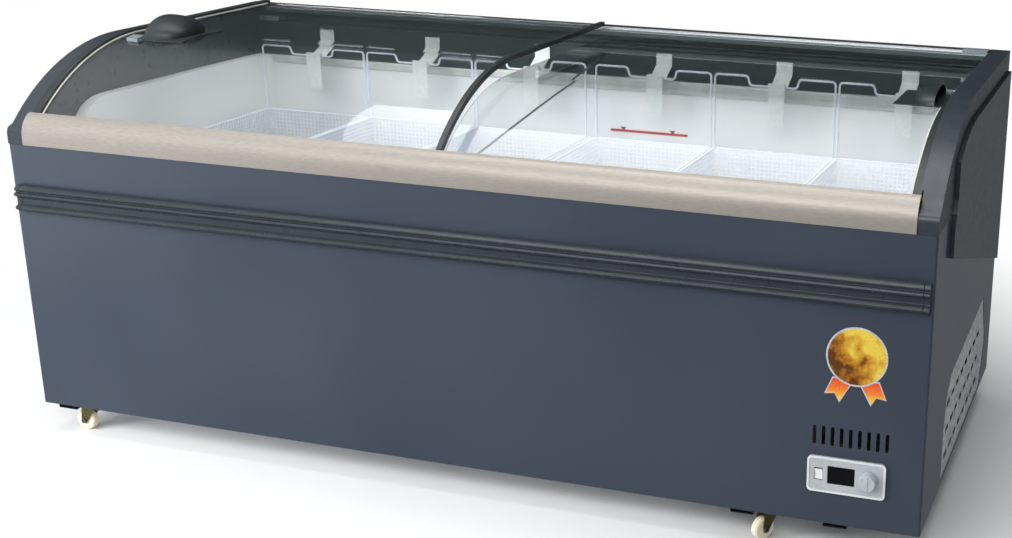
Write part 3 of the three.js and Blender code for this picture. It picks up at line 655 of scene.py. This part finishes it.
def baskets():
    """Six baskets, three at each side of the tie rod in the middle."""
    shape = basket_mesh()
    for number in range(6):
        left = BASKET_STARTS[number // 3] + (number % 3) * BASKET_PITCH
        mesh = shape.copy()
        mesh.transform(Matrix.Translation((left * MM, 0, 0)))
        node = f"wire_basket_{number + 1}"
        piece(f"basket_wires_{number + 1}", mesh, LOOKS["basket_white"], BODY_OF[node], "basket_white", node)


# --- lids --------------------------------------------------------------------------------------------


def top_line(offset, front_angle, rear):
    """Points (y, z) over the lid's arc and level to the rear, offset mm outside its line."""
    radius = ARC_RADIUS + offset
    angles = [math.radians(front_angle * (1 - step / ARC_STEPS)) for step in range(ARC_STEPS + 1)]
    line = [(ARC_Y - radius * math.sin(a), ARC_Z + radius * math.cos(a)) for a in angles]
    return line + [(rear, ARC_Z + radius)]


def seal_strips():
    """Each lid's pale seal, pressed in between the pane and the bar at its outer end."""
    for side, name, drop in ((-1, "left", 0), (1, "right", LID_DROP)):
        front_angle = LID_FRONT_ANGLE - SEAL_SHORT_ANGLE
        inner, outer = (top_line(offset - drop, front_angle, SEAL_REAR) for offset in SEAL_OFFSETS)
        edge = LID_OUTER_X - LID_BAR - SEAL_GAP
        low, high = sorted((side * edge, side * (edge - SEAL_WIDTH)))
        strip = prism(name + "_lid_seal", outer + inner[::-1], "x", low, high)
        mesh = softened(name + "_lid_seal", strip, 0.4, 1)
        piece(name + "_lid_seal", mesh, SEAL, name + "_lid", "grey_plastic")


def pane_top(across, drop):
    """Height of a bent pane's outer face."""
    back = max(ARC_Y - across, 0)
    return ARC_Z + math.sqrt((ARC_RADIUS + PANE_OUTER) ** 2 - back**2) - drop


def bent_plate(name, x, y, drop, thick):
    """A plate that lies on the bent pane."""
    steps = [y[0] + (y[1] - y[0]) * step / HOOD_RINGS for step in range(HOOD_RINGS + 1)]
    under = [(across, pane_top(across, drop)) for across in steps]
    over = [(across, height + thick) for across, height in reversed(under)]
    return softened(name, prism(name, under + over, "x", *x), 0.6, 2, 50)


def hood_rings(side, mouth, y, drop, length, height, inset):
    """Rings of points from a hood's mouth to its closed tail. Every ring is an arch over the pane."""
    rings = []
    for step in range(HOOD_RINGS):
        reach = math.sin(math.pi / 2 * step / (HOOD_RINGS - 1))
        shrink = max(1 - reach ** HOOD_TAPER[0], HOOD_LEAST) ** HOOD_TAPER[1]
        ring = []
        for turn in range(HOOD_RINGS):
            angle = math.pi * turn / (HOOD_RINGS - 1)
            across = y - (HANDLE_HALF_WIDTH - inset) * shrink * math.cos(angle)
            rise = (height - inset) * shrink * max(math.sin(angle), 0) ** HOOD_ARCH
            ring.append(at(mouth - side * (length - inset) * reach, across, pane_top(across, drop) + rise))
        rings.append(ring)
    return rings


def hood(name, *shape):
    """A thin-walled scoop: an outer and an inner shell, closed along the mouth, the sides and the tail."""
    points = [p for inset in (0, HANDLE_WALL) for ring in hood_rings(*shape, inset) for p in ring]
    size, inner = HOOD_RINGS, HOOD_RINGS * HOOD_RINGS
    last = (size - 1) * size
    faces = []
    for i in range(size - 1):
        for j in range(size - 1):
            for first in (i * size + j, inner + i * size + j):
                faces.append((first, first + 1, first + size + 1, first + size))
        for j in (i * size, i * size + size - 1):
            faces.append((j, j + size, inner + j + size, inner + j))
        for j in (i, last + i):
            faces.append((j, j + 1, inner + j + 1, inner + j))
    return softened(name, outward(mesh_from(name, points, faces)), 0.8, 2, 50)


def handles():
    """Each lid's hooded pull on its thin flange. The mouth faces the end of the freezer."""
    for name, side, x, mouth, y, drop, length, height in HANDLES:
        scoop = hood(name + "_hood", side, mouth, y, drop, length, height)
        x_range = (x - HANDLE_HALF_LENGTH, x + HANDLE_HALF_LENGTH)
        y_range = (y - HANDLE_HALF_WIDTH, y + HANDLE_HALF_WIDTH)
        flange = bent_plate(name + "_flange", x_range, y_range, drop, HANDLE_FLANGE)
        shape = joined(name + "_handle", [scoop, flange])
        node = name + "_lid_handle"
        piece(name + "_handle", shape, LOOKS["dark_plastic"], name + "_lid", "dark_plastic", node)


def catches():
    """A small grey block beside the mouth of each pull."""
    for name, x, y, drop in CATCHES:
        mesh = bent_plate(name + "_lid_catch", x, y, drop, CATCH_HEIGHT)
        piece(name + "_lid_catch", mesh, CATCH_PLASTIC, name + "_lid", "grey_plastic")


# --- stickers and small trim -------------------------------------------------------------------------


def circle(centre, radius, steps=64):
    """A round outline."""
    angles = [2 * math.pi * step / steps for step in range(steps)]
    return [(centre[0] + radius * math.cos(a), centre[1] + radius * math.sin(a)) for a in angles]


def rounded(x, z, radius, steps=6):
    """A rectangle's outline between pairs of mm, with rounded corners."""
    corners = [(x[1], z[1], 0), (x[0], z[1], 90), (x[0], z[0], 180), (x[1], z[0], 270)]
    outline = []
    for cx, cz, start in corners:
        u = cx - radius if cx == x[1] else cx + radius
        v = cz - radius if cz == z[1] else cz + radius
        for step in range(steps + 1):
            angle = math.radians(start + 90 * step / steps)
            outline.append((u + radius * math.cos(angle), v + radius * math.sin(angle)))
    return outline


def bezel_rim():
    """The raised bright rim round the control panel."""
    outer = rounded(BEZEL_X, BEZEL_Z, BEZEL_CORNER)
    inner = rounded(
        (BEZEL_X[0] + RIM_WIDTH, BEZEL_X[1] - RIM_WIDTH),
        (BEZEL_Z[0] + RIM_WIDTH, BEZEL_Z[1] - RIM_WIDTH),
        RIM_CORNER,
    )
    count = len(outer)
    loops = ((outer, RIM_FRONT), (inner, RIM_FRONT), (inner, RIM_BACK), (outer, RIM_BACK))
    points = [at(u, y, v) for outline, y in loops for u, v in outline]
    faces = []
    for loop in range(len(loops)):
        this, following = loop * count, (loop + 1) % len(loops) * count
        for i in range(count):
            j = (i + 1) % count
            faces.append((this + i, this + j, following + j, following + i))
    mesh = outward(mesh_from("bezel_rim", points, faces))
    piece("bezel_rim", softened("bezel_rim", mesh, 0.9, 3), RIM_PLASTIC, "cabinet", "silver_plastic")


def rosette():
    """An award rosette without lettering: a printed foil disc in a silver rim over two ribbon tails."""
    x, z = ROSETTE

    def tail(side, inset):
        """A notched ribbon tail, drawn in towards its middle by inset mm."""
        outline = [(2, -TAIL_TOP), (45, -TAIL_TOP), (60, -80), (40, -77), (30, -95)]
        middle = Vector((sum(p[0] for p in outline) / 5, sum(p[1] for p in outline) / 5))
        drawn = [middle + (Vector(p) - middle) * (1 - inset / TAIL_REACH) for p in outline]
        return [(x + side * p.x, z + p.y) for p in drawn]

    layers = [
        ("rosette_tail_left_edge", tail(-1, 0), 0.35, SILVER_FOIL),
        ("rosette_tail_right_edge", tail(1, 0), 0.35, SILVER_FOIL),
        ("rosette_tail_left", tail(-1, 3), 0.45, TAIL_FOIL),
        ("rosette_tail_right", tail(1, 3), 0.45, TAIL_FOIL),
        ("rosette_rim", circle((x, z), ROSETTE_RADIUS), 0.5, SILVER_FOIL),
        ("rosette_disc", circle((x, z), ROSETTE_RADIUS - ROSETTE_RIM), 0.6, DISC_FOIL),
    ]
    for name, outline, proud, look in layers:
        stands_for = ["rosette_sticker"] if name == "rosette_rim" else []
        mesh = prism(name, outline, "y", -proud, -0.05)
        piece(name, mesh, look, "cabinet", "gold_foil", *stands_for)


def load_mark():
    """The red load limit on the rear wall: a bar between two arrowheads."""
    face = (WELL_REAR - VINYL, WELL_REAR)
    bar = block("load_mark_bar", LOAD_BAR, face, (LOAD_Z, LOAD_Z + LOAD_BAR_HEIGHT))
    piece("load_mark_bar", bar, RED_VINYL, "cabinet", "liner_white")
    for number, x in enumerate(LOAD_ARROWS):
        top = LOAD_Z + ARROW_TOP
        outline = [(x - ARROW_HALF_WIDTH, top), (x + ARROW_HALF_WIDTH, top), (x, LOAD_Z + ARROW_TIP)]
        head = prism("head", outline, "y", face[0] - ARROW_PROUD, face[1])
        piece(f"load_mark_arrow_{number + 1}", head, DARK_RED_VINYL, "cabinet", "liner_white")


def breaker_strip():
    """The pale strip that covers the joint between the liner's rear wall and the panel above it."""
    low, high = BREAKER_Z
    face, lip = WELL_REAR - BREAKER_DEPTH, WELL_REAR - BREAKER_LIP
    outline = [
        (face, low + BREAKER_DEPTH), (face, high - BREAKER_DEPTH), (lip, high), (WELL_REAR, high),
        (WELL_REAR, low), (lip, low),
    ]
    half = WELL_HALF_LENGTH - BREAKER_SHORT
    mesh = prism("rear_breaker_strip", outline, "x", -half, half)
    shape = softened("rear_breaker_strip", mesh, 0.8)
    piece("rear_breaker_strip", shape, BREAKER, "cabinet", "grey_plastic")


def rear_joint_tape():
    """Dark tape over the foam between the panel behind the baskets and the rear rail's lower shelf."""
    tape = block("rear_joint_tape", (-TAPE_HALF_LENGTH, TAPE_HALF_LENGTH), TAPE_Y, TAPE_Z)
    piece("rear_joint_tape", tape, REAR_BACKING, "cabinet", "dark_plastic")


def rail_ends():
    """A grey block on each shelf of the rear rail: at the right on the upper, at the left on the lower."""
    for name, side, z in RAIL_ENDS:
        x = sorted(side * edge for edge in RAIL_END_X)
        mesh = softened(name, block(name, x, RAIL_END_Y, z), 1.2)
        piece(name, mesh, CATCH_PLASTIC, "cabinet", "grey_plastic")


# --- the whole freezer -------------------------------------------------------------------------------

# How far each solid's edges are rounded, in mm.
EDGES = {
    "front_panel": 0.5, "left_side_panel": 0.3, "right_side_panel": 0.3, "machine_cover": 0.3,
    "rear_panel": 0.3, "base_pan": 0.3, "inner_liner": 0.3, "rear_upper_panel": 0.5,
    "front_trim_rail": 0.8, "rear_glass_rail": 0.5, "rear_top_lip": 1.5, "left_end_cap": 3.0,
    "right_end_cap": 3.0, "bumper_strip": 0.8, "bumper_end_left": 2.5, "bumper_end_right": 2.5,
    "control_bezel": 1.6, "thermostat_knob": 0.8, "left_lid_frame": 1.2, "right_lid_frame": 1.2,
}
SMALL_EDGE = 0.4
UPPER_TRACK_Z = 845
# End cap faces nearer the middle than this get the painted shade.
CAP_PAINTED_SHADE_X = 957
# End cap faces farther out than this, the side field, get the painted light.
CAP_FIELD_X = 1007
BUILT_HERE = {"rosette_sticker", "rear_glass_rail"}
BUILT_HERE |= {"left_end_cap", "right_end_cap", "left_lid_handle", "right_lid_handle"}
BUILT_HERE |= {f"wire_basket_{number}" for number in range(1, 7)}


def recoat(made, look, chosen):
    """Gives the chosen faces of a piece another finish."""
    made.data.materials.append(look)
    for face in made.data.polygons:
        if chosen(face.center / MM):
            face.material_index = len(made.data.materials) - 1


def rear_rail():
    """The rear rail: bright on top of its upper shelf, and dark on everything that faces the well."""
    made = dress("rear_glass_rail", EDGES["rear_glass_rail"])
    recoat(made, TRACK, lambda middle: middle.z < UPPER_TRACK_Z)


def end_caps():
    """The end caps, each one slate moulding: the faces towards the goods have a darker teal-grey as painted
    shade, and the satin field that stands out at the side has a lighter grey as painted light.
    """
    for node in ("left_end_cap", "right_end_cap"):
        made = dress(node, EDGES[node])
        recoat(made, CAP_PAINTED_SHADE, lambda middle: abs(middle.x) < CAP_PAINTED_SHADE_X)
        recoat(made, FIELD_PAINTED_LIGHT, lambda middle: abs(middle.x) > CAP_FIELD_X)


def dress_the_rest():
    """Every other CAD solid keeps its shape, with rounded edges."""
    own_look = {"rear_upper_panel": REAR_BACKING, "rear_top_lip": REAR_LIP}
    for node in frame["nodes"]:
        if node not in BUILT_HERE:
            dress(node, EDGES.get(node, SMALL_EDGE), own_look.get(node))


baskets()
seal_strips()
handles()
catches()
bezel_rim()
rosette()
load_mark()
breaker_strip()
rear_joint_tape()
rail_ends()
rear_rail()
end_caps()
dress_the_rest()


# --- floor, light and camera -------------------------------------------------------------------------


def floor():
    """A wide pale floor that is white away from the freezer. To glossy rays it is a glow of painted
    reflection, light at the far left and darker towards the right, which the freezer's glossy panels mirror.
    """
    half = FLOOR_HALF
    corners = [(-half, -half, 0), (half, -half, 0), (half, half, 0), (-half, half, 0)]
    mesh = mesh_from("floor", corners, [(0, 1, 2, 3)])
    made = bpy.data.objects.new("floor", mesh)
    scene.collection.objects.link(made)
    material, tree, shader = surface("white_floor", Roughness=0.9, Specular_IOR_Level=0.1)
    connect(tree, shader, {"Base Color": tint(tree, grain(tree, 900), "#f4f4f4", "#f8f8f8")})
    place = add(tree, "ShaderNodeTexCoord").outputs["Object"]
    away = add(tree, "ShaderNodeVectorMath", {0: place}, operation="LENGTH").outputs["Value"]
    fade = {"Value": away, "From Min": FLOOR_FADE[0], "From Max": FLOOR_FADE[1]}
    far = add(tree, "ShaderNodeMapRange", fade, interpolation_type="SMOOTHSTEP").outputs[0]
    white = add(tree, "ShaderNodeEmission", {"Color": linear("#ffffff")})
    seen = add(tree, "ShaderNodeMixShader", {0: far, 1: shader.outputs[0], 2: white.outputs[0]})
    # Painted reflection: glossy rays see the floor as this banded glow instead of its lit surface.
    along = add(tree, "ShaderNodeSeparateXYZ", {0: place}).outputs[0]
    across = add(tree, "ShaderNodeMapRange", {"Value": along, "From Min": -2.6, "From Max": 1.2}).outputs[0]
    bands = add(tree, "ShaderNodeValToRGB", {0: across})
    colour_stops(
        bands, (0.0, "#e8ecf2"), (0.3, "#8d939c"), (0.45, "#a4aab3"), (0.62, "#5c6168"), (0.85, "#3b3f44"),
        (1.0, "#75797c"),
    )
    dim = add(tree, "ShaderNodeEmission", {"Color": bands.outputs[0]})
    rays = add(tree, "ShaderNodeLightPath").outputs
    to_camera = {0: rays["Is Camera Ray"], 1: shader.outputs[0], 2: seen.outputs[0]}
    lit = add(tree, "ShaderNodeMixShader", to_camera)
    to_painted_reflection = {0: rays["Is Glossy Ray"], 1: lit.outputs[0], 2: dim.outputs[0]}
    mixed = add(tree, "ShaderNodeMixShader", to_painted_reflection)
    tree.links.new(mixed.outputs[0], tree.nodes["Material Output"].inputs["Surface"])
    mesh.materials.append(material)


def softbox(name, size, place, target, power, colour="#ffffff"):
    """A large soft light at a place, turned to a target."""
    lamp = bpy.data.lights.new(name, "AREA")
    lamp.shape = "RECTANGLE"
    lamp.size, lamp.size_y = size
    lamp.energy = power
    lamp.color = linear(colour)[:3]
    made = bpy.data.objects.new(name, lamp)
    scene.collection.objects.link(made)
    made.location = place
    made.rotation_euler = (Vector(target) - Vector(place)).to_track_quat("-Z", "Y").to_euler()
    return made


def studio():
    """A white studio that is bright above and to the left, and dim behind and to the right."""
    world = bpy.data.worlds.new("white_studio")
    scene.world = world
    world.use_nodes = True
    tree = world.node_tree
    direction = add(tree, "ShaderNodeTexCoord").outputs["Generated"]
    toward = Vector((-0.45, -0.35, 0.82)).normalized()
    turned = add(tree, "ShaderNodeVectorMath", {0: direction, 1: toward}, operation="DOT_PRODUCT")
    facing = turned.outputs["Value"]
    shade = add(tree, "ShaderNodeValToRGB", {0: facing})
    colour_stops(shade, (0.0, "#2a3134"), (0.35, "#50585a"), (0.7, "#b4b8b9"), (1.0, "#f4f6f6"))
    seen = add(tree, "ShaderNodeLightPath").outputs["Is Camera Ray"]
    shown = {0: seen, 6: shade.outputs[0], 7: linear("#ffffff")}
    colour = add(tree, "ShaderNodeMix", shown, data_type="RGBA")
    connect(tree, tree.nodes["Background"], {"Color": colour.outputs[2], "Strength": 1.0})
    softbox("overhead", (3.6, 1.6), (0.0, -0.3, 3.4), (0, 0, 0.6), 44)
    softbox("front_fill", (3.4, 1.2), (0.1, -3.6, 2.9), (0, 0.4, 0.7), 62)
    left = softbox("left_front", (1.6, 2.2), (-2.6, -2.4, 1.4), (-0.8, 0, 0.4), 86)
    left.visible_glossy = False
    scene.view_settings.view_transform = "Standard"


def camera():
    """A standing view from the front right, looking down into the freezer."""
    yaw, pitch, roll = (math.radians(a) for a in CAMERA_TURN)
    turn = Matrix.Rotation(yaw, 3, "Z") @ Matrix.Rotation(pitch, 3, "X") @ Matrix.Rotation(roll, 3, "Y")
    right, forward, up = turn.col
    lens = bpy.data.cameras.new("front_right_view")
    lens.lens = CAMERA_LENS
    lens.shift_x, lens.shift_y = CAMERA_SHIFT
    made = bpy.data.objects.new("front_right_view", lens)
    scene.collection.objects.link(made)
    facing = Matrix((right, up, -forward)).transposed().to_4x4()
    made.matrix_world = Matrix.Translation(CAMERA_PLACE) @ facing
    scene.camera = made


floor()
studio()
camera()
